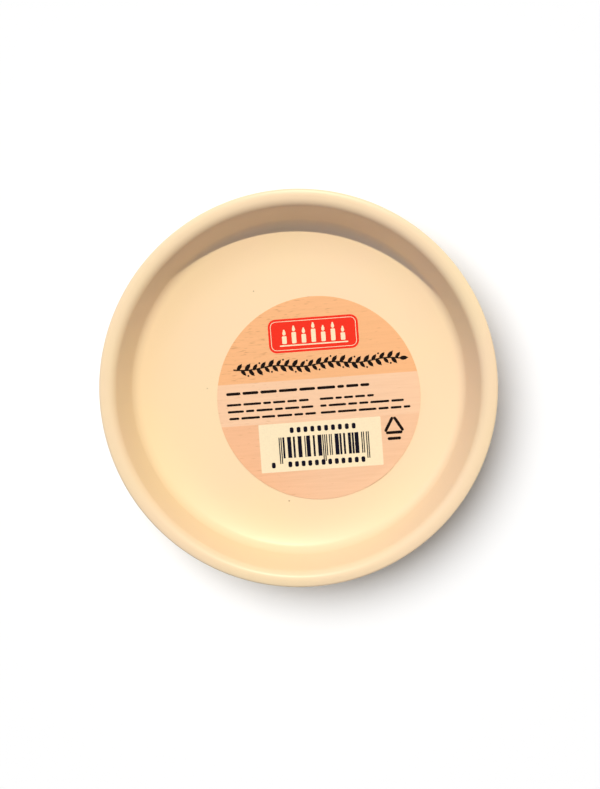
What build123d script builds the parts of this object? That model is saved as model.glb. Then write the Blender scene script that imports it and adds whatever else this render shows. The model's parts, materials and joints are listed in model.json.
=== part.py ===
from build123d import *
import os
from math import cos, radians, sin, tan

# A glazed ceramic candle plate: a flat dish with a steep wall, a thick rolled rim and a foot ring, and a
# round sticker on its floor and another underneath.
# Millimetres and degrees. +Z points up, and the origin is the middle of the plane that the foot stands on.
# The plate is turned from one section, whose angles are slopes: 0 is level and 90 is upright.

upright = 90.0
half_turn = 180.0

# The plate as a whole
plate_diameter = 120.0
well_depth = 16.0  # from the rim's crest down to the flat floor
floor_thickness = 5.0  # with the glaze on both faces
wall_slope = 73.0  # of the inner and the outer wall

# The floor's edge, which first rises gently and then turns up into the wall
rise_radius = 33.0
rise_slope = 17.0
cove_radius = 4.5

# The rim, which is rolled in three arcs: from the inner wall, over the crest, and round the lip
roll_radius = 3.1
crown_radius = 5.8
crown_inner_slope = 12.0
crown_outer_slope = 10.0
lip_radius = 0.8

# The underside
heel_radius = 9.0
foot_setback = 3.5  # level underside between the heel and the foot's fillet
foot_height = 2.0
foot_width = 4.0
foot_fillet = 0.6
foot_round = 0.5

# The glaze, which stops on the foot's sides and leaves its sole bare
glaze_thickness = 0.3

# The stickers
film_thickness = 0.1
adhesive_thickness = 0.05
adhesive_setback = 0.4  # of the adhesive's edge from the film's edge
front_label_offset = 7.08  # of the sticker's middle from the plate's axis
front_label_bearing = -28.0  # of that offset, from +X towards +Y
front_label_margin = 0.5  # from the sticker's edge to the end of the flat floor, where they come closest
base_label_margin = 10.5  # from the sticker's edge to the foot's fillet


def run(radius, slope_from, slope_to):
    """How far an arc reaches sideways between two slopes."""
    return radius * (sin(radians(slope_to)) - sin(radians(slope_from)))


def lift(radius, slope_from, slope_to):
    """How far an arc climbs between two slopes."""
    return radius * (cos(radians(slope_from)) - cos(radians(slope_to)))


# Heights
floor_height = foot_height + floor_thickness
glaze_stop = (foot_round + foot_height - foot_fillet) / 2

# Inner wall and floor, worked out from the rim inwards
plate_radius = plate_diameter / 2
crest_radius = plate_radius - run(lip_radius, crown_outer_slope, upright) - run(crown_radius, 0, crown_outer_slope)
wall_top_radius = (
    crest_radius - run(crown_radius, 0, crown_inner_slope) - run(roll_radius, crown_inner_slope, wall_slope)
)
inner_wall_lift = (
    well_depth
    - lift(crown_radius, 0, crown_inner_slope)
    - lift(roll_radius, crown_inner_slope, wall_slope)
    - lift(cove_radius, rise_slope, wall_slope)
    - lift(rise_radius, 0, rise_slope)
)
inner_wall_length = inner_wall_lift / sin(radians(wall_slope))
flat_radius = (
    wall_top_radius
    - inner_wall_lift / tan(radians(wall_slope))
    - run(cove_radius, rise_slope, wall_slope)
    - run(rise_radius, 0, rise_slope)
)

# Outer wall, heel and foot, worked out from the lip downwards
outer_wall_lift = (
    well_depth
    + floor_thickness
    - lift(crown_radius, 0, crown_outer_slope)
    - lift(lip_radius, crown_outer_slope, half_turn - wall_slope)
    - lift(heel_radius, 0, wall_slope)
)
outer_wall_length = outer_wall_lift / sin(radians(wall_slope))
heel_end_radius = (
    plate_radius
    + run(lip_radius, upright, wall_slope)
    - outer_wall_lift / tan(radians(wall_slope))
    - run(heel_radius, 0, wall_slope)
)
foot_outer_radius = heel_end_radius - foot_setback - foot_fillet
foot_inner_radius = foot_outer_radius - foot_width

# Places of the stickers
front_label_radius = flat_radius - front_label_offset - front_label_margin
front_label_plane = Plane(
    origin=(
        front_label_offset * cos(radians(front_label_bearing)),
        front_label_offset * sin(radians(front_label_bearing)),
        floor_height,
    )
)
base_label_radius = foot_inner_radius - foot_fillet - base_label_margin
base_label_plane = Plane(origin=(0, 0, foot_height), z_dir=(0, 0, -1))


def upper_line(depth):
    """Draw the section of the upper glaze at this depth, from the middle of the floor to the foot's outside."""
    floor = Line((0, floor_height - depth), (flat_radius, floor_height - depth))
    rise = JernArc(floor @ 1, floor % 1, rise_radius + depth, rise_slope)
    cove = JernArc(rise @ 1, rise % 1, cove_radius + depth, wall_slope - rise_slope)
    inner_wall = PolarLine(cove @ 1, inner_wall_length, wall_slope)
    roll = JernArc(inner_wall @ 1, inner_wall % 1, roll_radius - depth, crown_inner_slope - wall_slope)
    crown = JernArc(roll @ 1, roll % 1, crown_radius - depth, -crown_inner_slope - crown_outer_slope)
    lip = JernArc(crown @ 1, crown % 1, lip_radius - depth, crown_outer_slope + wall_slope - half_turn)
    outer_wall = PolarLine(lip @ 1, outer_wall_length, half_turn + wall_slope)
    heel = JernArc(outer_wall @ 1, outer_wall % 1, heel_radius - depth, -wall_slope)
    underside = PolarLine(heel @ 1, foot_setback, half_turn)
    corner = JernArc(underside @ 1, underside % 1, foot_fillet + depth, upright)
    return Line(corner @ 1, (foot_outer_radius - depth, glaze_stop))


def base_line(depth):
    """Draw the section of the base's glaze at this depth, from the plate's axis to the foot's inside."""
    underside = Line((0, foot_height + depth), (foot_inner_radius - foot_fillet, foot_height + depth))
    corner = JernArc(underside @ 1, underside % 1, foot_fillet + depth, -upright)
    return Line(corner @ 1, (foot_inner_radius + depth, glaze_stop))


def foot_line(outside, inside):
    """Draw the section of the foot's bare end, from the end of its outside round the sole to its inside."""
    outer_side = Line(outside, (outside.X, foot_round))
    outer_corner = JernArc(outer_side @ 1, outer_side % 1, foot_round, -upright)
    sole = Line(outer_corner @ 1, (inside.X + foot_round, 0))
    inner_corner = JernArc(sole @ 1, sole % 1, foot_round, -upright)
    Line(inner_corner @ 1, inside)


# The fired clay body
with BuildPart() as ceramic_body:
    with BuildSketch(Plane.XZ):
        with BuildLine():
            foot_outside = upper_line(glaze_thickness)
            foot_inside = base_line(glaze_thickness)
            foot_line(foot_outside @ 1, foot_inside @ 1)
            Line((0, foot_height + glaze_thickness), (0, floor_height - glaze_thickness))
        make_face()
    revolve(axis=Axis.Z)

# The glaze over the inside, the rim and the outside
with BuildPart() as upper_glaze:
    with BuildSketch(Plane.XZ):
        with BuildLine():
            glaze_face = upper_line(0)
            clay_face = upper_line(glaze_thickness)
            Line(glaze_face @ 1, clay_face @ 1)
            Line((0, floor_height), (0, floor_height - glaze_thickness))
        make_face()
    revolve(axis=Axis.Z)

# The glaze inside the foot ring
with BuildPart() as base_glaze:
    with BuildSketch(Plane.XZ):
        with BuildLine():
            glaze_face = base_line(0)
            clay_face = base_line(glaze_thickness)
            Line(glaze_face @ 1, clay_face @ 1)
            Line((0, foot_height), (0, foot_height + glaze_thickness))
        make_face()
    revolve(axis=Axis.Z)

# The sticker on the floor
with BuildPart() as front_label_adhesive:
    with BuildSketch(front_label_plane):
        Circle(front_label_radius - adhesive_setback)
    extrude(amount=adhesive_thickness)

with BuildPart() as front_label_film:
    with BuildSketch(front_label_plane.offset(adhesive_thickness)):
        Circle(front_label_radius)
    extrude(amount=film_thickness)

# The sticker underneath
with BuildPart() as base_label_adhesive:
    with BuildSketch(base_label_plane):
        Circle(base_label_radius - adhesive_setback)
    extrude(amount=adhesive_thickness)

with BuildPart() as base_label_film:
    with BuildSketch(base_label_plane.offset(adhesive_thickness)):
        Circle(base_label_radius)
    extrude(amount=film_thickness)

pieces = {
    "ceramic_body": ceramic_body,
    "upper_glaze": upper_glaze,
    "base_glaze": base_glaze,
    "front_label_adhesive": front_label_adhesive,
    "front_label_film": front_label_film,
    "base_label_adhesive": base_label_adhesive,
    "base_label_film": base_label_film,
}
os.makedirs("parts", exist_ok=True)
for name, piece in pieces.items():
    piece.part.label = name
    export_step(piece.part, f"parts/{name}.step")
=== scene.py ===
import json
import random
from math import atan2, ceil, cos, pi, radians, sin, tan

import bmesh
import bpy
from bpy.props import FloatProperty, FloatVectorProperty, IntProperty, PointerProperty
from mathutils import Matrix, Vector

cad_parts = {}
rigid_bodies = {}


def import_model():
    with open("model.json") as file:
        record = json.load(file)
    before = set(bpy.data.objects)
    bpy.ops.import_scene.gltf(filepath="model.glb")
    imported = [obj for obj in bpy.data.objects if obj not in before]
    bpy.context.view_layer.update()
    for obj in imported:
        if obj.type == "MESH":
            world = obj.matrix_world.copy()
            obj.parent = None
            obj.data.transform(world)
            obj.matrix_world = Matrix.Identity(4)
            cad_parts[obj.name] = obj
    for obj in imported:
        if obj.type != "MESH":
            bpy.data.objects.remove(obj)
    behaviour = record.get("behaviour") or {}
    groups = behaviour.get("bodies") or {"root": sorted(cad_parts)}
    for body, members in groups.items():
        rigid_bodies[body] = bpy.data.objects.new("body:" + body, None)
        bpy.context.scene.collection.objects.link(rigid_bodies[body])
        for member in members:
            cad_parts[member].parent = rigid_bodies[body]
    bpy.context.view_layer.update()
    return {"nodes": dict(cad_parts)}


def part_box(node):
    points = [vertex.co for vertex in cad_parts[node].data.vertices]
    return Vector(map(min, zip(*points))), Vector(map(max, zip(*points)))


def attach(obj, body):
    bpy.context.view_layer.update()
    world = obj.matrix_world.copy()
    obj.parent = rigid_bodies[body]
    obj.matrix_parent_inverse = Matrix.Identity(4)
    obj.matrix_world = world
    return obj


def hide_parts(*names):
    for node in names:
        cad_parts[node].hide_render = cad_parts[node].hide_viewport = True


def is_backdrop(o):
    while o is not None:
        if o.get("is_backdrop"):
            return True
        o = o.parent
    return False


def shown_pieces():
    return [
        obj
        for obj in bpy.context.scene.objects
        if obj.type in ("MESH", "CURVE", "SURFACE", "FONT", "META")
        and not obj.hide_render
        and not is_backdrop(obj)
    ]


bl_info = {
    "name": "Candle plate",
    "version": (1, 0, 0),
    "blender": (4, 5, 0),
    "location": "3D View > Sidebar > Candle plate",
    "description": "Glazes a ceramic candle plate and sticks its two printed stickers on",
    "category": "Object",
}

# Everything is in metres and radians. +Z is up, and the plate's axis is the Z axis.
# A slope is measured from level: 0 is flat and a quarter turn is upright.
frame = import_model()

MM = 0.001
SEAM = 0.001 * MM  # vertices nearer than this are one

# Places that the solids give
plate_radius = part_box("upper_glaze")[1].x
floor_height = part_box("front_label_adhesive")[0].z
foot_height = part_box("base_label_adhesive")[1].z
front_low, front_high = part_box("front_label_film")
front_middle = (front_low + front_high) / 2
base_low, base_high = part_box("base_label_film")


def linear(code, alpha=1.0):
    """Turn an sRGB hex code into the linear colour that the shaders take."""
    parts = [int(code[place:place + 2], 16) / 255 for place in (1, 3, 5)]
    return (*[part / 12.92 if part <= 0.04045 else ((part + 0.055) / 1.055) ** 2.4 for part in parts], alpha)


def size(name, description, millimetres):
    return FloatProperty(
        name=name, description=description, default=millimetres * MM, unit="LENGTH", precision=5
    )


def slope(name, description, degrees):
    return FloatProperty(name=name, description=description, default=radians(degrees), subtype="ANGLE")


def colour(name, description, code):
    return FloatVectorProperty(
        name=name, description=description, default=linear(code), size=4, subtype="COLOR", min=0, max=1
    )


def power(name, description, default):
    return FloatProperty(name=name, description=description, default=default, min=0)


class PlateSection(bpy.types.PropertyGroup):
    """The section that the plate is turned from: outwards, over the rim and down to the foot."""

    well_depth: size("Well depth", "From the rim's crest down to the flat floor", 16)
    floor_thickness: size("Floor thickness", "With the glaze on both faces", 5)
    wall_slope: slope("Wall slope", "Of the inner and the outer wall", 73)
    rise_radius: size("Rise radius", "Of the gentle rise at the floor's edge", 33)
    rise_slope: slope("Rise slope", "Where the rise ends and the cove begins", 17)
    cove_radius: size("Cove radius", "Between the rise and the wall", 4.5)
    roll_radius: size("Roll radius", "Between the inner wall and the rim's crown", 3.1)
    crown_radius: size("Crown radius", "Over the top of the rim", 5.8)
    crown_inner_slope: slope("Crown inner slope", "Where the crown meets the roll", 12)
    crown_outer_slope: slope("Crown outer slope", "Where the crown meets the lip", 10)
    lip_radius: size("Lip radius", "Round the rim's outer edge", 0.8)
    heel_radius: size("Heel radius", "Between the outer wall and the underside", 9)
    foot_setback: size("Foot setback", "Level underside between the heel and the foot", 3.5)
    foot_width: size("Foot width", "Across the foot ring, with its glaze", 4)
    foot_fillet: size("Foot fillet", "Between the underside and the foot", 0.6)
    glaze_stop: size("Glaze stop", "Height above the table where the glaze ends", 0.95)
    glaze_thickness: size("Glaze thickness", "Of the fused glaze", 0.3)
    glaze_bite: size("Glaze bite", "How far the glaze's inner face lies in the clay", 0.05)
    unevenness: size("Unevenness", "How far the clay dips below its section", 0.05)
    unevenness_spacing: size("Unevenness spacing", "Between one dip and the next", 26)
    edge_wander: size("Glaze edge wander", "How far the wiped edge strays up the foot", 0.25)
    edge_spacing: size("Glaze edge spacing", "Between one bay of the edge and the next", 7)
    segments: IntProperty(name="Segments", description="Steps round the plate", default=256, min=32)


class StickerSizes(bpy.types.PropertyGroup):
    """The round stickers and what is printed on them."""

    turn: slope("Turn", "Of the floor sticker's print, anticlockwise from above", 4.2)
    ink: size("Ink thickness", "Of each printed layer", 0.015)
    film: size("Film thickness", "Of the sticker's film", 0.1)
    curl: size("Curl", "How far the lifted stretch of the edge stands up", 0.16)
    curl_from: slope("Curl from", "Bearing where the lifted stretch begins", 299)
    curl_to: slope("Curl to", "Bearing where it ends", 316)
    plaque_width: size("Plaque width", "Of the red plaque", 28.1)
    plaque_height: size("Plaque height", "Of the red plaque", 10.5)
    garland_length: size("Garland length", "Of the leaf garland", 52)
    panel_width: size("Panel width", "Of the pale panel behind the bars", 38.2)
    panel_height: size("Panel height", "Of the pale panel behind the bars", 15.2)
    bar_module: size("Bar module", "Width of the thinnest bar", 0.297)


class FinishColours(bpy.types.PropertyGroup):
    """The colours of the clay, the glaze and the print."""

    glaze: colour("Glaze", "Main colour of the cream glaze", "#EED5AD")
    glaze_rosy: colour("Rosy glaze", "Where the glaze lies thinner", "#EFD3AF")
    speck: colour("Speck", "Iron speck under the glaze", "#8A6A48")
    clay: colour("Clay", "Bare fired clay", "#CDB18C")
    clay_dark: colour("Dark clay", "Coarse grains in the bare clay", "#A98A66")
    beech_top: colour("Upper board", "Of the upper board's print", "#EEB380")
    beech_middle: colour("Middle board", "Of the middle board's print", "#EFC6A3")
    beech_bottom: colour("Lower board", "At the lower board's left end", "#ECB78F")
    beech_pale: colour("Pale lower board", "At the lower board's right end", "#EBBF9B")
    beech_fleck: colour("Fleck", "Rays in the printed beech", "#A9703F")
    red: colour("Red", "Ink of the plaque", "#EB3322")
    cream: colour("Cream", "Ink of the panel and the candles", "#F1DFBC")
    black: colour("Black", "Ink of the garland, the rows and the triangle", "#120804")
    navy: colour("Navy", "Ink of the bars", "#0B0818")
    grey: colour("Grey", "Ink of the sticker underneath", "#5C5A57")
    base_film: colour("Base film", "Film of the sticker underneath", "#EDE8DA")
    adhesive: colour("Adhesive", "Adhesive at a sticker's edge", "#D9CDB2")


class StageSettings(bpy.types.PropertyGroup):
    """The lamps and the camera."""

    lamp_distance: size("Lamp distance", "From the plate to each lamp", 1500)
    key_power: power("Key power", "In watts", 20.3)
    key_size: size("Key size", "Across the key lamp", 30)
    key_bearing: slope("Key bearing", "From +X towards +Y", 85.5)
    key_tilt: slope("Key tilt", "From straight overhead", 28.9)
    key_colour: colour("Key colour", "Of the key lamp", "#FFF6DE")
    fill_power: power("Fill power", "In watts", 4.6)
    fill_size: size("Fill size", "Across the fill lamp", 900)
    fill_bearing: slope("Fill bearing", "From +X towards +Y", 142)
    fill_tilt: slope("Fill tilt", "From straight overhead", 50)
    fill_colour: colour("Fill colour", "Of the fill lamp", "#A6C6FF")
    floor_strength: power("Floor lamp strength", "In watts per square metre", 3.75)
    floor_spread: slope("Floor lamp spread", "How wide it shows in the sky", 46)
    floor_bearing: slope("Floor lamp bearing", "From +X towards +Y", 135)
    floor_tilt: slope("Floor lamp tilt", "From straight overhead", 25)
    room: colour("Room light", "Light from all round on the plate alone", "#7E8699")
    room_spread: slope("Room light spread", "How wide it reaches: 180 is the whole sky", 170)
    dusk: colour("Dusk", "Light from all round on the plate and the floor", "#303030")
    camera_distance: size("Camera distance", "From the rim to the camera", 400)
    camera_bearing: slope("Camera bearing", "From +X towards +Y", 76.1)
    camera_tilt: slope("Camera tilt", "From straight overhead", 2.32)
    lip_drop: size("Lip drop", "From the rim's crest down to its widest line", 1.5)


class CandlePlate(bpy.types.PropertyGroup):
    """All of the plate's settings."""

    section: PointerProperty(type=PlateSection)
    sticker: PointerProperty(type=StickerSizes)
    finish: PointerProperty(type=FinishColours)
    stage: PointerProperty(type=StageSettings)


# Modelling

sharp = radians(50)  # an edge that turns further is rounded


def add(primitive, **settings):
    """Add a primitive with nothing else selected, and stay in edit mode with all of it selected."""
    bpy.ops.object.select_all(action="DESELECT")
    primitive(**settings)
    bpy.ops.object.mode_set(mode="EDIT")


def disc(corners, radius):
    """Start a flat disc, in edit mode."""
    add(bpy.ops.mesh.primitive_circle_add, vertices=corners, radius=radius, fill_type="NGON")


def done():
    """Leave edit mode and hand back the piece."""
    bpy.ops.object.mode_set(mode="OBJECT")
    return bpy.context.object


def choose(kind, test):
    """Select the vertices, edges or faces of the edited mesh that pass a test."""
    bpy.ops.mesh.select_mode(type=kind)
    bpy.ops.mesh.select_all(action="DESELECT")
    mesh = bmesh.from_edit_mesh(bpy.context.object.data)
    for part in {"VERT": mesh.verts, "EDGE": mesh.edges, "FACE": mesh.faces}[kind]:
        if test(part):
            part.select_set(True)
    mesh.select_flush_mode()
    bmesh.update_edit_mesh(bpy.context.object.data)


def move(x=0.0, y=0.0, z=0.0, **settings):
    bpy.ops.transform.translate(value=(x, y, z), **settings)


def shape_with(piece, kind, **settings):
    """Add a modifier with its settings and apply it."""
    modifier = piece.modifiers.new(kind.title(), kind)
    for name, value in settings.items():
        setattr(modifier, name, value)
    bpy.ops.object.modifier_apply(modifier=modifier.name)


def round_edges(piece, width, steps):
    """Round the edges that turn sharply."""
    shape_with(piece, "BEVEL", width=width, segments=steps, limit_method="ANGLE", angle_limit=sharp)


def ripple(piece, depth, spacing, direction="NORMAL", group=""):
    """Let the surface dip by up to a depth, in dips that lie a spacing apart."""
    clouds = bpy.data.textures.new("ripple", "CLOUDS")
    clouds.noise_scale = spacing
    clouds.noise_depth = 1
    shape_with(
        piece, "DISPLACE", texture=clouds, texture_coords="LOCAL",
        strength=depth, mid_level=1.0, direction=direction, vertex_group=group,
    )
    bpy.data.textures.remove(clouds)


def shifted(piece, x=0.0, y=0.0, z=0.0):
    """Shift a piece's mesh, and hand the piece back."""
    piece.data.transform(Matrix.Translation((x, y, z)))
    return piece


def copy_of(piece, x=0.0, y=0.0, turn=0.0, share=1.0):
    """Copy a piece with its own mesh, then size, turn and place the copy."""
    twin = piece.copy()
    twin.data = piece.data.copy()
    bpy.context.collection.objects.link(twin)
    place = Matrix.Translation((x, y, 0)) @ Matrix.Rotation(turn, 4, "Z") @ Matrix.Scale(share, 4)
    twin.data.transform(place)
    return twin


def join(pieces):
    """Join pieces into the first of them."""
    bpy.ops.object.select_all(action="DESELECT")
    for piece in pieces:
        piece.select_set(True)
    bpy.context.view_layer.objects.active = pieces[0]
    bpy.ops.object.join()
    return pieces[0]


def discard(piece):
    bpy.data.meshes.remove(piece.data)


def hand_over(piece, name, materials, node=None, smooth=True):
    """Set a finished piece's place in its mesh, name it, finish it and tell the frame about it."""
    bpy.ops.object.select_all(action="DESELECT")
    piece.select_set(True)
    bpy.context.view_layer.objects.active = piece
    bpy.ops.object.transform_apply()
    if smooth:
        bpy.ops.object.shade_smooth()
    piece.name = piece.data.name = name
    for material in materials:
        piece.data.materials.append(material)
    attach(piece, "root")
    if node:
        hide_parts(node)


def finish_solid(name, material):
    """Give a solid that stays as it is its own material."""
    materials = frame["nodes"][name].data.materials
    materials.clear()
    materials.append(material)


# Turned pieces


def run(radius, slope_from, slope_to):
    """How far an arc reaches sideways between two slopes."""
    return radius * (sin(slope_to) - sin(slope_from))


def lift(radius, slope_from, slope_to):
    """How far an arc climbs between two slopes."""
    return radius * (cos(slope_from) - cos(slope_to))


class Template:
    """A line in the XZ plane, drawn by extruding one vertex, that is then spun about the plate's axis."""

    step = 3 * MM
    bend_step = radians(6)

    def __init__(self, height, heading):
        add(bpy.ops.mesh.primitive_plane_add, size=MM, location=(0, 0, height))
        bpy.ops.mesh.merge(type="CENTER")
        self.heading = heading

    def reach(self, length, heading):
        way = (length * cos(heading), 0, length * sin(heading))
        bpy.ops.mesh.extrude_region_move(TRANSFORM_OT_translate={"value": way})

    def straight(self, length):
        steps = max(1, round(length / self.step))
        for _ in range(steps):
            self.reach(length / steps, self.heading)

    def bend(self, radius, turn):
        """Draw an arc. Its turn is positive where the line bends to its left."""
        steps = max(4, ceil(abs(turn) / self.bend_step), ceil(radius * abs(turn) / self.step))
        for _ in range(steps):
            self.reach(2 * radius * sin(abs(turn) / steps / 2), self.heading + turn / steps / 2)
            self.heading += turn / steps

    def spin(self, segments, faces_up):
        """Spin the line, close its seam and its pole, and turn its faces outwards."""
        bpy.ops.mesh.select_all(action="SELECT")
        bpy.ops.mesh.spin(steps=segments, angle=2 * pi, center=(0, 0, 0), axis=(0, 0, 1))
        bpy.ops.mesh.select_all(action="SELECT")
        bpy.ops.mesh.remove_doubles(threshold=SEAM)
        bpy.ops.mesh.normals_make_consistent(inside=False)
        faces = bmesh.from_edit_mesh(bpy.context.object.data).faces
        middle = min(faces, key=lambda face: face.calc_center_median().xy.length)
        if (middle.normal.z > 0) != faces_up:
            bpy.ops.mesh.flip_normals()
        return done()


def section_lengths(s):
    """Work out the straight stretches of the section, and the radii at which they end."""
    quarter = pi / 2
    crest = plate_radius - run(s.lip_radius, s.crown_outer_slope, quarter)
    crest -= run(s.crown_radius, 0, s.crown_outer_slope)
    wall_top = crest - run(s.crown_radius, 0, s.crown_inner_slope)
    wall_top -= run(s.roll_radius, s.crown_inner_slope, s.wall_slope)
    inner_lift = s.well_depth - lift(s.crown_radius, 0, s.crown_inner_slope)
    inner_lift -= lift(s.roll_radius, s.crown_inner_slope, s.wall_slope)
    inner_lift -= lift(s.cove_radius, s.rise_slope, s.wall_slope) + lift(s.rise_radius, 0, s.rise_slope)
    flat = wall_top - inner_lift / tan(s.wall_slope)
    flat -= run(s.cove_radius, s.rise_slope, s.wall_slope) + run(s.rise_radius, 0, s.rise_slope)
    outer_lift = s.well_depth + s.floor_thickness - lift(s.crown_radius, 0, s.crown_outer_slope)
    outer_lift -= lift(s.lip_radius, s.crown_outer_slope, pi - s.wall_slope)
    outer_lift -= lift(s.heel_radius, 0, s.wall_slope)
    heel_end = plate_radius + run(s.lip_radius, quarter, s.wall_slope)
    heel_end -= outer_lift / tan(s.wall_slope) + run(s.heel_radius, 0, s.wall_slope)
    return {
        "flat": flat,
        "inner_wall": inner_lift / sin(s.wall_slope),
        "outer_wall": outer_lift / sin(s.wall_slope),
        "foot_outside": heel_end - s.foot_setback - s.foot_fillet,
        "foot_side": foot_height - s.foot_fillet - s.glaze_stop,
    }


def finish_glaze(piece, s):
    """Give a spun glaze its slight unevenness, its thickness and its rounded, wandering edge."""
    edge_share = 0.4  # of the glaze's thickness, rounded at its edge
    ripple(piece, s.unevenness, s.unevenness_spacing)
    edge = piece.vertex_groups.new(name="glaze_edge")
    lowest = min(vertex.co.z for vertex in piece.data.vertices)
    near_lowest = lowest + 2 * s.unevenness
    edge.add([vertex.index for vertex in piece.data.vertices if vertex.co.z < near_lowest], 1.0, "REPLACE")
    ripple(piece, -s.edge_wander, s.edge_spacing, direction="Z", group=edge.name)
    shape_with(piece, "SOLIDIFY", thickness=s.glaze_thickness + s.glaze_bite, offset=-1)
    round_edges(piece, s.glaze_thickness * edge_share, steps=3)


class CANDLE_PLATE_OT_clay(bpy.types.Operator):
    """Finish the clay body, whose foot ring is left bare of glaze"""

    bl_idname = "candle_plate.clay"
    bl_label = "Clay body"

    def execute(self, context):
        finish_solid("ceramic_body", material_of(bisque_fired_stoneware, context.scene.candle_plate.finish))
        return {"FINISHED"}


class CANDLE_PLATE_OT_upper_glaze(bpy.types.Operator):
    """Turn the glaze over the inside, the rim and the outside of the plate"""

    bl_idname = "candle_plate.upper_glaze"
    bl_label = "Upper glaze"

    def execute(self, context):
        plate = context.scene.candle_plate
        s = plate.section
        lengths = section_lengths(s)
        line = Template(floor_height, heading=0)
        line.straight(lengths["flat"])
        line.bend(s.rise_radius, s.rise_slope)
        line.bend(s.cove_radius, s.wall_slope - s.rise_slope)
        line.straight(lengths["inner_wall"])
        line.bend(s.roll_radius, s.crown_inner_slope - s.wall_slope)
        line.bend(s.crown_radius, -s.crown_inner_slope - s.crown_outer_slope)
        line.bend(s.lip_radius, s.crown_outer_slope + s.wall_slope - pi)
        line.straight(lengths["outer_wall"])
        line.bend(s.heel_radius, -s.wall_slope)
        line.straight(s.foot_setback)
        line.bend(s.foot_fillet, pi / 2)
        line.straight(lengths["foot_side"])
        glaze = line.spin(s.segments, faces_up=True)
        finish_glaze(glaze, s)
        satin = material_of(cream_satin_glaze, plate.finish)
        hand_over(glaze, "glaze_over_the_dish", [satin], "upper_glaze")
        return {"FINISHED"}


class CANDLE_PLATE_OT_base_glaze(bpy.types.Operator):
    """Turn the glaze inside the foot ring"""

    bl_idname = "candle_plate.base_glaze"
    bl_label = "Base glaze"

    def execute(self, context):
        plate = context.scene.candle_plate
        s = plate.section
        lengths = section_lengths(s)
        line = Template(foot_height, heading=0)
        line.straight(lengths["foot_outside"] - s.foot_width - s.foot_fillet)
        line.bend(s.foot_fillet, -pi / 2)
        line.straight(lengths["foot_side"])
        glaze = line.spin(s.segments, faces_up=False)
        finish_glaze(glaze, s)
        satin = material_of(cream_satin_glaze, plate.finish)
        hand_over(glaze, "glaze_inside_the_foot", [satin], "base_glaze")
        return {"FINISHED"}


class CANDLE_PLATE_OT_specks(bpy.types.Operator):
    """Raise the few iron specks that show through the glaze"""

    bl_idname = "candle_plate.specks"
    bl_label = "Iron specks"

    # Place on the dish's floor and width, in millimetres
    specks = ((-14.1, 29.9, 0.42), (-28.6, -0.4, 0.4), (-3.0, -35.6, 0.52))
    height_share = 0.06
    top_share = 0.5
    corners = 12

    def execute(self, context):
        finish = context.scene.candle_plate.finish
        disc(self.corners, radius=0.5)
        bpy.ops.mesh.extrude_region_move(TRANSFORM_OT_translate={"value": (0, 0, self.height_share)})
        bpy.ops.transform.resize(value=(self.top_share, self.top_share, 1))
        speck = done()
        copies = []
        for place in self.specks:
            x, y, width = (part * MM for part in place)
            sunk = self.height_share * width / 2
            copies.append(shifted(copy_of(speck, x, y, share=width), z=floor_height - sunk))
        discard(speck)
        hand_over(join(copies), "iron_specks", [material_of(iron_speck, finish)])
        return {"FINISHED"}


# Stickers


def sticker_film(radius):
    """Cut a round film with close rings at its edge, which let the edge curl."""
    rings = (0.4 * MM, 0.5 * MM, 0.6 * MM, 0.8 * MM, 1.2 * MM)
    disc(192, radius)
    for ring in rings:
        bpy.ops.mesh.inset(thickness=ring)
    return done()


def finish_film(film, thickness):
    """Give the film its thickness and the slight roundness of a die cut."""
    edge_share = 0.2  # of the thickness, rounded by the die
    shape_with(film, "SOLIDIFY", thickness=thickness, offset=1)
    round_edges(film, thickness * edge_share, steps=2)


def panel(width, height, corner, corner_steps=5):
    """Model a flat panel with round corners."""
    add(bpy.ops.mesh.primitive_plane_add, size=1)
    bpy.ops.transform.resize(value=(width, height, 1))
    bpy.ops.mesh.bevel(offset=corner, segments=corner_steps, affect="VERTICES")
    return done()


def dash(width, height):
    """Model a flat dash with round ends."""
    end_share = 0.49  # a half would leave two corners on one spot
    return panel(width, height, height * end_share, corner_steps=3)


def row_of_dashes(left, right, middle, height, dice):
    """Fill a row with dashes as long as words, a letter's width apart."""
    gap = 0.62 * MM
    shortest_last = 1.6 * MM
    word_lengths = (2.0, 6.0)  # in millimetres
    dashes = []
    start = left
    while start < right:
        length = dice.uniform(*word_lengths) * MM
        if right - start - length < gap + shortest_last:
            length = right - start
        dashes.append(shifted(dash(length, height), start + length / 2, middle))
        start += length + gap
    return dashes


def lay_print(piece, plate, layer, name, *inks):
    """Thicken flat print, turn it with the sticker and lay it on the film, or on the layer of ink below."""
    bpy.context.view_layer.objects.active = piece
    shape_with(piece, "SOLIDIFY", thickness=plate.sticker.ink, offset=1)
    piece.rotation_euler.z = plate.sticker.turn
    piece.location = (*front_middle.xy, front_high.z + layer * plate.sticker.ink)
    materials = [material_of(flexo_ink, plate.finish, ink) for ink in inks]
    hand_over(piece, name, materials, smooth=False)


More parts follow.
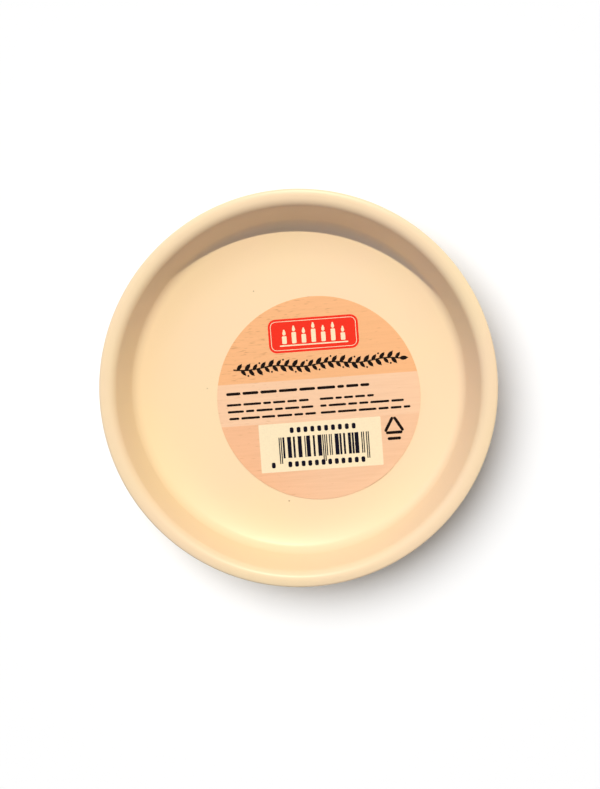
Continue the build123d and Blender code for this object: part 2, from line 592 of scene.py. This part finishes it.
class CANDLE_PLATE_OT_sticker(bpy.types.Operator):
    """Cut the floor sticker's film, whose edge lifts a little at one place, and finish the adhesives"""

    bl_idname = "candle_plate.sticker"
    bl_label = "Floor sticker"

    curl_reach = 2.2 * MM

    def execute(self, context):
        plate = context.scene.candle_plate
        sticker = plate.sticker
        radius = (front_high.x - front_low.x) / 2
        film = sticker_film(radius)
        bpy.ops.object.mode_set(mode="EDIT")

        def on_lifted_edge(vertex):
            bearing = atan2(vertex.co.y, vertex.co.x) % (2 * pi)
            return vertex.co.xy.length > radius - SEAM and sticker.curl_from < bearing < sticker.curl_to

        choose("VERT", on_lifted_edge)
        move(
            z=sticker.curl, use_proportional_edit=True,
            proportional_edit_falloff="SMOOTH", proportional_size=self.curl_reach,
        )
        done()
        finish_film(film, sticker.film)
        film.location = (*front_middle.xy, front_low.z)
        beech = material_of(printed_polypropylene_film, plate.finish, sticker.turn)
        hand_over(film, "floor_sticker_film", [beech], "front_label_film", smooth=False)
        for layer in ("front_label_adhesive", "base_label_adhesive"):
            finish_solid(layer, material_of(acrylic_adhesive, plate.finish))
        return {"FINISHED"}


class CANDLE_PLATE_OT_plaque(bpy.types.Operator):
    """Print the red plaque with its pale line, and a row of candles on it"""

    bl_idname = "candle_plate.plaque"
    bl_label = "Plaque and candles"

    middle = (-0.25 * MM, 20.05 * MM)
    corner = 2.4 * MM
    line_inset = 0.7 * MM
    line_width = 0.18 * MM
    candle_width = 1.4 * MM
    shoulder_share = 0.2
    candle_heights = (2.4 * MM, 3.5 * MM, 2.7 * MM, 4.1 * MM, 3.0 * MM, 3.7 * MM, 2.3 * MM)
    candle_spacing = 3.05 * MM
    tray_drop = 3.1 * MM
    tray_height = 0.4 * MM
    flame_width = 1.0 * MM
    foot_share = 1.5  # of the tray's height, from its middle to the candles' feet
    wick_share = 0.75  # of the flame's width, from a candle's top to the flame's middle

    def plaque(self, plate):
        """The red ground, whose faces between two insets are cream."""
        sticker = plate.sticker
        piece = panel(sticker.plaque_width, sticker.plaque_height, self.corner, corner_steps=10)
        for ink in ("red", "cream"):
            piece.data.materials.append(material_of(flexo_ink, plate.finish, ink))
        bpy.ops.object.mode_set(mode="EDIT")
        bpy.ops.mesh.select_all(action="SELECT")
        bpy.ops.mesh.inset(thickness=self.line_inset)
        bpy.ops.mesh.inset(thickness=self.line_width)
        bpy.ops.mesh.select_more()
        faces = bmesh.from_edit_mesh(piece.data).faces
        largest = max(faces, key=lambda face: face.calc_area())
        for face in faces:
            if face.select and face is not largest:
                face.material_index = 1
        bmesh.update_edit_mesh(piece.data)
        return done()

    def flame(self):
        """A drop: a disc whose top is drawn up to a point, in shares of its width."""
        disc(16, self.flame_width / 2)
        choose("VERT", lambda vertex: vertex.co.y > self.flame_width * 0.15)
        move(y=self.flame_width * 0.3)
        choose("VERT", lambda vertex: vertex.co.y > self.flame_width * 0.7)
        move(y=self.flame_width * 0.5)
        return done()

    def candle(self, height):
        """A round-shouldered candle that stands on the line y = 0."""
        shoulder = self.candle_width * self.shoulder_share
        return shifted(panel(self.candle_width, height, shoulder, corner_steps=3), y=height / 2)

    def execute(self, context):
        plate = context.scene.candle_plate
        lay_print(shifted(self.plaque(plate), *self.middle), plate, 0, "red_plaque_print")
        flame = self.flame()
        count = len(self.candle_heights)
        foot = self.tray_height * self.foot_share - self.tray_drop
        pieces = [shifted(dash(self.candle_spacing * count, self.tray_height), y=-self.tray_drop)]
        for place, height in enumerate(self.candle_heights):
            x = (place - (count - 1) / 2) * self.candle_spacing
            top = foot + height + self.flame_width * self.wick_share
            pieces += [shifted(self.candle(height), x, foot), copy_of(flame, x, top)]
        discard(flame)
        lay_print(shifted(join(pieces), *self.middle), plate, 1, "candle_row_print", "cream")
        return {"FINISHED"}


class CANDLE_PLATE_OT_garland(bpy.types.Operator):
    """Print the garland: a waving stem with leaves on both sides and berries between them"""

    bl_idname = "candle_plate.garland"
    bl_label = "Leaf garland"

    middle = (0.0, 10.6 * MM)
    stem_width = 0.42 * MM
    wave_height = 0.42 * MM
    waves = 3
    steps_per_wave = 24
    leaf_length = 2.75 * MM
    leaf_width = 1.3 * MM
    leaf_spacing = 1.24 * MM
    leaf_lean = radians(50)
    leaf_step_share = 0.08  # by which each next of three leaves is smaller
    berry_width = 0.6 * MM
    berry_along = 0.85 * MM
    berry_away = 1.75 * MM

    def wave(self, x, length):
        return self.wave_height * sin(2 * pi * self.waves * x / length)

    def stem(self, length):
        """A short upright edge, extruded along the wave."""
        steps = self.steps_per_wave * self.waves
        add(bpy.ops.mesh.primitive_plane_add, size=self.stem_width)
        choose("VERT", lambda vertex: vertex.co.x > 0)
        bpy.ops.mesh.delete(type="VERT")
        choose("EDGE", lambda edge: True)
        move(x=self.stem_width / 2 - length / 2)
        for step in range(steps):
            x = length * (step / steps - 0.5)
            x_next = x + length / steps
            rise = self.wave(x_next, length) - self.wave(x, length)
            bpy.ops.mesh.extrude_region_move(TRANSFORM_OT_translate={"value": (length / steps, rise, 0)})
        return done()

    def leaf(self):
        """A pointed oval from the origin along +X, in shares of its length."""
        disc(16, self.leaf_length / 2)
        bpy.ops.transform.resize(value=(0.86, self.leaf_width / self.leaf_length, 1))
        choose("VERT", lambda vertex: vertex.co.x > self.leaf_length * 0.42)
        move(x=self.leaf_length * 0.14)
        bpy.ops.mesh.select_all(action="SELECT")
        move(x=self.leaf_length * 0.43)
        return done()

    def berry(self):
        disc(12, self.berry_width / 2)
        return done()

    def execute(self, context):
        plate = context.scene.candle_plate
        length = plate.sticker.garland_length
        pieces = [self.stem(length)]
        leaf = self.leaf()
        berry = self.berry()
        count = round(length / self.leaf_spacing)
        for place in range(1, count):
            x = place * length / count - length / 2
            y = self.wave(x, length)
            side = 1 if place % 2 else -1
            share = 1.0 - self.leaf_step_share * (place % 3)
            pieces.append(copy_of(leaf, x, y, side * self.leaf_lean, share))
            if place % 3 == 0:
                pieces.append(copy_of(berry, x + self.berry_along, y - side * self.berry_away))
        pieces.append(copy_of(leaf, length / 2, self.wave(length / 2, length)))
        discard(leaf)
        discard(berry)
        lay_print(shifted(join(pieces), *self.middle), plate, 0, "garland_print", "black")
        return {"FINISHED"}


class CANDLE_PLATE_OT_rows(bpy.types.Operator):
    """Print the rows of dashes that stand for the sticker's small print"""

    bl_idname = "candle_plate.rows"
    bl_label = "Rows of small print"

    # Left end, right end, middle height and thickness of each row, in millimetres
    rows = (
        (-28.8, 16.0, 3.1, 0.9),
        (-28.9, -3.2, -0.35, 0.72),
        (0.24, 17.2, -0.35, 0.72),
        (-28.7, -1.9, -2.5, 0.72),
        (0.24, 26.4, -2.5, 0.72),
        (-28.4, -1.2, -4.65, 0.72),
        (0.24, 28.3, -4.65, 0.72),
    )
    seed = 5

    def execute(self, context):
        plate = context.scene.candle_plate
        dice = random.Random(self.seed)
        dashes = []
        for row in self.rows:
            dashes += row_of_dashes(*(part * MM for part in row), dice)
        lay_print(join(dashes), plate, 0, "small_rows_print", "black")
        return {"FINISHED"}


class CANDLE_PLATE_OT_bars(bpy.types.Operator):
    """Print the pale panel with its plain bars and short dashes"""

    bl_idname = "candle_plate.bars"
    bl_label = "Bar panel"

    middle = (-0.4 * MM, -14.7 * MM)
    corner = 0.25 * MM
    left = -13.5 * MM
    modules = 95
    top = -11.5 * MM
    foot = -18.1 * MM
    long_foot = -19.8 * MM
    upper_row = (-9.8 * MM, 10.8 * MM, -9.45 * MM, 10)
    lower_row = (-11.0 * MM, 13.1 * MM, -20.1 * MM, 12)
    lone_dash = -15.6 * MM
    dash_width = 1.2 * MM
    dash_height = 1.75 * MM
    dash_corner = 0.45 * MM
    bar_widths = (1, 1, 1, 2, 2, 3, 4)  # in modules
    bar_gaps = (1, 1, 1, 2, 3)
    ink_spread = 0.12  # of a module, on each bar
    seed = 11

    def bar(self, unit, module, start, width, foot):
        bar = copy_of(unit)
        bar.data.transform(
            Matrix.Translation((self.left + (start + width / 2) * module, (self.top + foot) / 2, 0))
            @ Matrix.Diagonal(((width + self.ink_spread) * module, self.top - foot, 1, 1))
        )
        return bar

    def bars(self, module):
        """Long guard bars at both ends and in the middle, and bars of chance widths between them."""
        dice = random.Random(self.seed)
        add(bpy.ops.mesh.primitive_plane_add, size=1)
        unit = done()
        middle = self.modules // 2
        guards = (0, 2, middle - 1, middle + 1, self.modules - 3, self.modules - 1)
        pieces = [self.bar(unit, module, start, 1, self.long_foot) for start in guards]
        for first, last in ((4, middle - 2), (middle + 3, self.modules - 4)):
            start = first
            while start < last:
                width = min(dice.choice(self.bar_widths), last - start)
                pieces.append(self.bar(unit, module, start, width, self.foot))
                start += width + dice.choice(self.bar_gaps)
        discard(unit)
        return pieces

    def dashes(self, left, right, middle, count):
        unit = panel(self.dash_width, self.dash_height, self.dash_corner)
        spacing = (right - left - self.dash_width) / (count - 1)
        pieces = [copy_of(unit, left + self.dash_width / 2 + k * spacing, middle) for k in range(count)]
        discard(unit)
        return pieces

    def execute(self, context):
        plate = context.scene.candle_plate
        sticker = plate.sticker
        ground = panel(sticker.panel_width, sticker.panel_height, self.corner)
        lay_print(shifted(ground, *self.middle), plate, 0, "pale_panel_print", "cream")
        pieces = self.bars(sticker.bar_module) + self.dashes(*self.upper_row) + self.dashes(*self.lower_row)
        lone = panel(self.dash_width, self.dash_height, self.dash_corner)
        pieces.append(shifted(lone, self.lone_dash, self.lower_row[2]))
        lay_print(join(pieces), plate, 1, "bars_print", "navy")
        return {"FINISHED"}


class CANDLE_PLATE_OT_triangle(bpy.types.Operator):
    """Print the plain triangle of three strokes, with a short dash under it"""

    bl_idname = "candle_plate.triangle"
    bl_label = "Triangle mark"

    middle = (22.7 * MM, -10.7 * MM)
    reach = 1.75 * MM
    stroke_length = 5.2 * MM
    stroke_width = 0.92 * MM
    under_dash = (22.6 * MM, -14.3 * MM)
    under_width = 4.2 * MM
    under_height = 0.92 * MM

    def execute(self, context):
        plate = context.scene.candle_plate
        unit = dash(self.stroke_length, self.stroke_width)
        strokes = []
        for side in range(3):
            bearing = side * 2 * pi / 3 - pi / 2
            x = self.middle[0] + self.reach * cos(bearing)
            y = self.middle[1] + self.reach * sin(bearing)
            strokes.append(copy_of(unit, x, y, bearing + pi / 2))
        discard(unit)
        strokes.append(shifted(dash(self.under_width, self.under_height), *self.under_dash))
        lay_print(join(strokes), plate, 0, "triangle_print", "black")
        return {"FINISHED"}


class CANDLE_PLATE_OT_base_sticker(bpy.types.Operator):
    """Cut the sticker underneath and print its ring and its rows of dashes"""

    bl_idname = "candle_plate.base_sticker"
    bl_label = "Base sticker"

    ring_inset = 1.6 * MM
    ring_width = 0.35 * MM
    row_pitch = 3.4 * MM
    row_height = 0.75 * MM
    rows_each_side = 5
    last_row_share = 0.4  # of its right half
    margin = 4.5 * MM
    seed = 23

    def execute(self, context):
        plate = context.scene.candle_plate
        sticker = plate.sticker
        radius = (base_high.x - base_low.x) / 2
        film = sticker_film(radius)
        finish_film(film, sticker.film)
        film.rotation_euler.x = pi
        film.location.z = base_high.z
        plain = material_of(plain_polypropylene_film, plate.finish)
        hand_over(film, "base_sticker_film", [plain], "base_label_film", smooth=False)
        dice = random.Random(self.seed)
        disc(128, radius - self.ring_inset)
        bpy.ops.mesh.inset(thickness=self.ring_width)
        bpy.ops.mesh.delete(type="FACE")
        pieces = [done()]
        for row in range(-self.rows_each_side, self.rows_each_side + 1):
            y = -row * self.row_pitch
            half = ((radius - self.margin) ** 2 - y ** 2) ** 0.5
            last = half if row < self.rows_each_side else half * self.last_row_share
            pieces += row_of_dashes(-half, last, y, self.row_height, dice)
        ink = join(pieces)
        shape_with(ink, "SOLIDIFY", thickness=sticker.ink, offset=1)
        ink.rotation_euler.x = pi
        ink.location.z = base_low.z
        grey = material_of(flexo_ink, plate.finish, "grey")
        hand_over(ink, "base_sticker_print", [grey], smooth=False)
        return {"FINISHED"}


# Materials


def material_of(look, *settings):
    """Hand back a look's material. The first time, the look lays it out on its Object coordinates."""
    inks = [part for part in settings if isinstance(part, str)]  # an ink's name goes before the look's
    name = "_".join([*inks, look.__name__])
    material = bpy.data.materials.get(name)
    if not material:
        material = bpy.data.materials.new(name)
        material.use_nodes = True
        tree = material.node_tree
        place = node(tree, "TexCoord").outputs["Object"]
        look(tree, tree.nodes["Principled BSDF"], place, *settings)
    return material


def set_up(node, *values, **named):
    """Set a node's properties by name, and set or link its inputs, in their order or by name."""
    for name, value in (*enumerate(values), *named.items()):
        if hasattr(node, str(name)):
            setattr(node, name, value)
            continue
        in_use = {socket.name.replace(" ", "_"): socket for socket in node.inputs if socket.enabled}
        socket = in_use.get(name) or node.inputs[name]
        if isinstance(value, bpy.types.Node):
            value = next(output for output in value.outputs if output.enabled)
        if isinstance(value, bpy.types.NodeSocket):
            node.id_data.links.new(value, socket)
        else:
            socket.default_value = value


def node(tree, kind, *values, **named):
    """Add a shader node of a kind, with its settings and its links."""
    made = tree.nodes.new("ShaderNode" + kind)
    set_up(made, *values, **named)
    return made


def per(length):
    """The scale at which a pattern repeats once in a length."""
    return 1 / length


def cream_satin_glaze(tree, shader, place, finish):
    """Satin tin-white glaze with a little iron, sprayed and fired at about 1200 degrees.

    The eye sees an even, warm cream with a soft sheen, slightly rosier where it lies thin, and a
    surface that is smooth but not quite flat, so that a lamp's reflection has soft, broken ends.
    """
    clouds = node(tree, "TexNoise", Scale=per(34 * MM), Detail=2.0, Vector=place)
    thinness = node(tree, "MapRange", From_Min=0.38, From_Max=0.66, Value=clouds)
    tone = node(tree, "Mix", data_type="RGBA", A=finish.glaze[:], B=finish.glaze_rosy[:], Factor=thinness)
    peel = node(tree, "TexNoise", Scale=per(2.4 * MM), Detail=1.0, Vector=place)
    sheen = node(tree, "MapRange", To_Min=0.34, To_Max=0.38, Value=peel)
    bump = node(tree, "Bump", Strength=0.5, Distance=0.012 * MM, Height=peel)
    set_up(shader, IOR=1.5, Specular_IOR_Level=0.25, Base_Color=tone, Roughness=sheen, Normal=bump)


def iron_speck(tree, shader, place, finish):
    """Iron speck melted into the glaze. The eye sees a small brown dot under the same sheen."""
    grain = node(tree, "TexNoise", Scale=per(0.3 * MM), Vector=place)
    tone = node(tree, "Mix", data_type="RGBA", A=finish.speck[:], B=finish.glaze[:], Factor=grain)
    set_up(shader, Roughness=0.3, Base_Color=tone)


def bisque_fired_stoneware(tree, shader, place, finish):
    """Bare fired stoneware, wiped clean of glaze and rubbed smooth on a stone.

    The eye sees a dry, matt tan with darker coarse grains and a fine sandy tooth.
    """
    sand = node(tree, "TexNoise", Scale=per(0.5 * MM), Detail=4.0, Vector=place)
    grains = node(tree, "TexVoronoi", Scale=per(1.3 * MM), Vector=place)
    spots = node(tree, "MapRange", From_Min=0.10, From_Max=0.28, To_Min=1.0, To_Max=0.0, Value=grains)
    tone = node(tree, "Mix", data_type="RGBA", A=finish.clay[:], B=finish.clay_dark[:], Factor=spots)
    bump = node(tree, "Bump", Strength=0.6, Distance=0.05 * MM, Height=sand)
    set_up(shader, Roughness=0.9, Specular_IOR_Level=0.3, Base_Color=tone, Normal=bump)


def printed_polypropylene_film(tree, shader, place, finish, turn):
    """White polypropylene film, printed all over with beech boards and coated satin.

    The eye sees three boards in peach tones with hardly any joint, fine fibres along them, and the
    short brown rays of beech, most of them on the upper board.
    """
    # Millimetres from the sticker's middle, along and across its boards
    level = node(
        tree, "Mapping", vector_type="TEXTURE", Location=front_middle, Rotation=(0, 0, turn),
        Scale=(MM, MM, MM), Vector=place,
    )
    along, across, _ = node(tree, "SeparateXYZ", Vector=level).outputs
    paling = node(tree, "MapRange", From_Min=-22.0, From_Max=0.0, Value=along)
    boards = node(
        tree, "Mix", data_type="RGBA", A=finish.beech_bottom[:], B=finish.beech_pale[:], Factor=paling,
    )
    for joint_low, joint_high, tint in ((-7.15, -6.85, finish.beech_middle), (6.0, 6.25, finish.beech_top)):
        joint = node(tree, "MapRange", From_Min=joint_low, From_Max=joint_high, Value=across)
        boards = node(tree, "Mix", data_type="RGBA", B=tint[:], Factor=joint, A=boards)
    fibre_place = node(tree, "Mapping", Scale=(1 / 14, 1 / 0.8, 1), Vector=level)
    fibres = node(tree, "TexNoise", Scale=1.0, Detail=3.0, Vector=fibre_place)
    fibre_depth = node(tree, "MapRange", From_Min=0.3, From_Max=0.7, To_Min=0.0, To_Max=0.10, Value=fibres)
    grained = node(tree, "Mix", data_type="RGBA", B=finish.beech_fleck[:], Factor=fibre_depth, A=boards)
    ray_place = node(tree, "Mapping", Scale=(1 / 3.0, 1 / 0.42, 1), Vector=level)
    rays = node(tree, "TexNoise", Scale=1.0, Detail=1.0, Vector=ray_place)
    # More rays show on the upper board, and most of them on its left end
    shown_above = node(tree, "MapRange", From_Min=6.0, From_Max=8.0, To_Min=-0.07, To_Max=0.0, Value=across)
    shown_left = node(
        tree, "MapRange", From_Min=-18.0, From_Max=10.0, To_Min=0.03, To_Max=-0.04, Value=along,
    )
    shown = node(tree, "Math", shown_above, shown_left, operation="ADD")
    ray_height = node(tree, "Math", rays, shown, operation="ADD")
    ray_depth = node(
        tree, "MapRange", From_Min=0.62, From_Max=0.78, To_Min=0.0, To_Max=0.5, Value=ray_height,
    )
    tone = node(tree, "Mix", data_type="RGBA", B=finish.beech_fleck[:], Factor=ray_depth, A=grained)
    set_up(shader, IOR=1.49, Roughness=0.45, Specular_IOR_Level=0.2, Base_Color=tone)


def plain_polypropylene_film(tree, shader, place, finish):
    """Unprinted polypropylene film. The eye sees an even, faintly cloudy off-white with a satin coat."""
    clouds = node(tree, "TexNoise", Scale=per(9 * MM), Vector=place)
    faint = node(tree, "Math", clouds, 0.12, operation="MULTIPLY")
    tone = node(tree, "Mix", data_type="RGBA", A=finish.base_film[:], B=finish.adhesive[:], Factor=faint)
    set_up(shader, IOR=1.49, Roughness=0.42, Base_Color=tone)


def acrylic_adhesive(tree, shader, place, finish):
    """Clear acrylic adhesive over the glaze. The eye sees a faint, yellowish line at the sticker's edge."""
    dust = node(tree, "TexNoise", Scale=per(0.6 * MM), Detail=3.0, Vector=place)
    faint = node(tree, "Math", dust, 0.3, operation="MULTIPLY")
    tone = node(tree, "Mix", data_type="RGBA", A=finish.adhesive[:], B=finish.clay_dark[:], Factor=faint)
    set_up(shader, IOR=1.47, Roughness=0.35, Base_Color=tone)


def flexo_ink(tree, shader, place, finish, ink):
    """Flexographic ink on film. The eye sees a flat, even colour, faintly mottled, with hardly any shine."""
    mottle = node(tree, "TexNoise", Scale=per(0.5 * MM), Detail=2.0, Vector=place)
    density = node(tree, "MapRange", From_Min=0.3, From_Max=0.7, To_Min=1.03, To_Max=0.97, Value=mottle)
    tone = node(tree, "HueSaturation", Color=getattr(finish, ink)[:], Value=density)
    set_up(shader, IOR=1.49, Roughness=0.45, Specular_IOR_Level=0.05, Base_Color=tone)


def matt_white_paper():
    """Matt white paper under the plate. The eye sees plain white with the plate's soft shadow on it."""
    material = bpy.data.materials.new("matt_white_paper")
    material.use_nodes = True
    shader = material.node_tree.nodes["Principled BSDF"]
    set_up(shader, Base_Color=linear("#F3F3F3"), Roughness=0.9, Specular_IOR_Level=0.1)
    return material


# Stage


def towards(bearing, tilt):
    """The direction to a bearing, tilted from straight overhead."""
    return Vector((cos(bearing) * sin(tilt), sin(bearing) * sin(tilt), cos(tilt)))


def lamp(kind, name, lit, away, bearing, tilt, **settings):
    """Hang a lamp that points at the plate and lights one collection."""
    place = towards(bearing, tilt) * away
    bpy.ops.object.light_add(type=kind, location=place, rotation=(-place).to_track_quat("-Z", "Y").to_euler())
    made = bpy.context.object
    made.name = name
    for setting, value in settings.items():
        setattr(made.data, setting, value)
    made.light_linking.receiver_collection = lit


class CANDLE_PLATE_OT_stage(bpy.types.Operator):
    """Lay the floor, hang the lamps and stand the camera over the plate"""

    bl_idname = "candle_plate.stage"
    bl_label = "Stage"

    # The photograph, in pixels: its size, and the middle and radius of the plate's outline
    photo_width = 600
    photo_height = 789
    outline_x = 298.38
    outline_y = 389.06
    outline_radius = 199.2
    sensor = 36.0  # in millimetres, as the camera and its lens count
    nearest = 0.01
    floor_width = 6.0

    def lay_floor(self):
        add(bpy.ops.mesh.primitive_plane_add, size=self.floor_width)
        floor = done()
        floor.name = "floor"
        floor.data.materials.append(matt_white_paper())
        floor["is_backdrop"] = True
        return floor

    def light_room(self, dusk):
        """A faint light from all round, in place of which the camera and the gloss see plain white."""
        world = bpy.data.worlds.new("room")
        bpy.context.scene.world = world
        world.use_nodes = True
        tree = world.node_tree
        ray = node(tree, "LightPath").outputs
        seen = ray["Is Camera Ray"]
        for kind in ("Is Transmission Ray", "Is Glossy Ray"):
            seen = node(tree, "Math", seen, ray[kind], operation="MAXIMUM")
        light = node(tree, "Mix", data_type="RGBA", A=dusk[:], B=linear("#FFFFFF"), Factor=seen)
        set_up(tree.nodes["Background"], Strength=1.0, Color=light)

    def stand_camera(self, stage, section):
        """Aim the camera so that the plate's outline falls where the photograph has it."""
        lip = Vector((0, 0, floor_height + section.well_depth - stage.lip_drop))
        back = towards(stage.camera_bearing, stage.camera_tilt)
        right = Vector((0, 1, 0)).cross(back).normalized()
        pixel = plate_radius / self.outline_radius
        aim = lip + right * (self.photo_width / 2 - self.outline_x) * pixel
        aim += back.cross(right) * (self.outline_y - self.photo_height / 2) * pixel
        stand = lip + back * stage.camera_distance
        bpy.ops.object.camera_add(location=stand)
        camera = bpy.context.object
        camera.name = "camera"
        away = (stand - aim).normalized()
        right = Vector((0, 1, 0)).cross(away).normalized()
        camera.rotation_euler = Matrix((right, away.cross(right), away)).transposed().to_euler()
        camera.data.sensor_width = self.sensor
        camera.data.lens = self.sensor * stage.camera_distance / (pixel * self.photo_height)
        camera.data.clip_start = self.nearest
        bpy.context.scene.camera = camera

    def execute(self, context):
        plate = context.scene.candle_plate
        stage = plate.stage
        floor = self.lay_floor()
        floor_only = bpy.data.collections.new("floor_only")
        floor_only.objects.link(floor)
        plate_only = bpy.data.collections.new("plate_only")
        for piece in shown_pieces():
            plate_only.objects.link(piece)
        away = stage.lamp_distance
        lamp(
            "AREA", "key_lamp", plate_only, away, stage.key_bearing, stage.key_tilt,
            shape="DISK", size=stage.key_size, energy=stage.key_power, color=stage.key_colour[:3],
        )
        lamp(
            "AREA", "fill_lamp", plate_only, away, stage.fill_bearing, stage.fill_tilt,
            shape="DISK", size=stage.fill_size, energy=stage.fill_power, color=stage.fill_colour[:3],
        )
        lamp(
            "SUN", "floor_lamp", floor_only, away, stage.floor_bearing, stage.floor_tilt,
            angle=stage.floor_spread, energy=stage.floor_strength,
        )
        # At this strength a lamp spread over the whole sky is as bright as its colour
        lamp(
            "SUN", "room_lamp", plate_only, away, bearing=0, tilt=0,
            angle=stage.room_spread, energy=pi, color=stage.room[:3],
        )
        self.light_room(stage.dusk)
        self.stand_camera(stage, plate.section)
        context.scene.view_settings.view_transform = "Standard"
        return {"FINISHED"}


steps = (
    CANDLE_PLATE_OT_clay,
    CANDLE_PLATE_OT_upper_glaze,
    CANDLE_PLATE_OT_base_glaze,
    CANDLE_PLATE_OT_specks,
    CANDLE_PLATE_OT_sticker,
    CANDLE_PLATE_OT_plaque,
    CANDLE_PLATE_OT_garland,
    CANDLE_PLATE_OT_rows,
    CANDLE_PLATE_OT_bars,
    CANDLE_PLATE_OT_triangle,
    CANDLE_PLATE_OT_base_sticker,
    CANDLE_PLATE_OT_stage,
)


class CANDLE_PLATE_PT_panel(bpy.types.Panel):
    """Lists the plate's pieces in the order in which they are made"""

    bl_idname = "CANDLE_PLATE_PT_panel"
    bl_label = "Candle plate"
    bl_space_type = "VIEW_3D"
    bl_region_type = "UI"
    bl_category = "Candle plate"

    def draw(self, context):
        for step in steps:
            self.layout.operator(step.bl_idname)


settings = (PlateSection, StickerSizes, FinishColours, StageSettings, CandlePlate)
classes = (*settings, *steps, CANDLE_PLATE_PT_panel)


def register():
    for part in classes:
        bpy.utils.register_class(part)
    bpy.types.Scene.candle_plate = PointerProperty(type=CandlePlate)


def unregister():
    del bpy.types.Scene.candle_plate
    for part in reversed(classes):
        bpy.utils.unregister_class(part)


def main():
    register()
    bpy.ops.candle_plate.clay()
    bpy.ops.candle_plate.upper_glaze()
    bpy.ops.candle_plate.base_glaze()
    bpy.ops.candle_plate.specks()
    bpy.ops.candle_plate.sticker()
    bpy.ops.candle_plate.plaque()
    bpy.ops.candle_plate.garland()
    bpy.ops.candle_plate.rows()
    bpy.ops.candle_plate.bars()
    bpy.ops.candle_plate.triangle()
    bpy.ops.candle_plate.base_sticker()
    bpy.ops.candle_plate.stage()


if __name__ == "__main__":
    main()
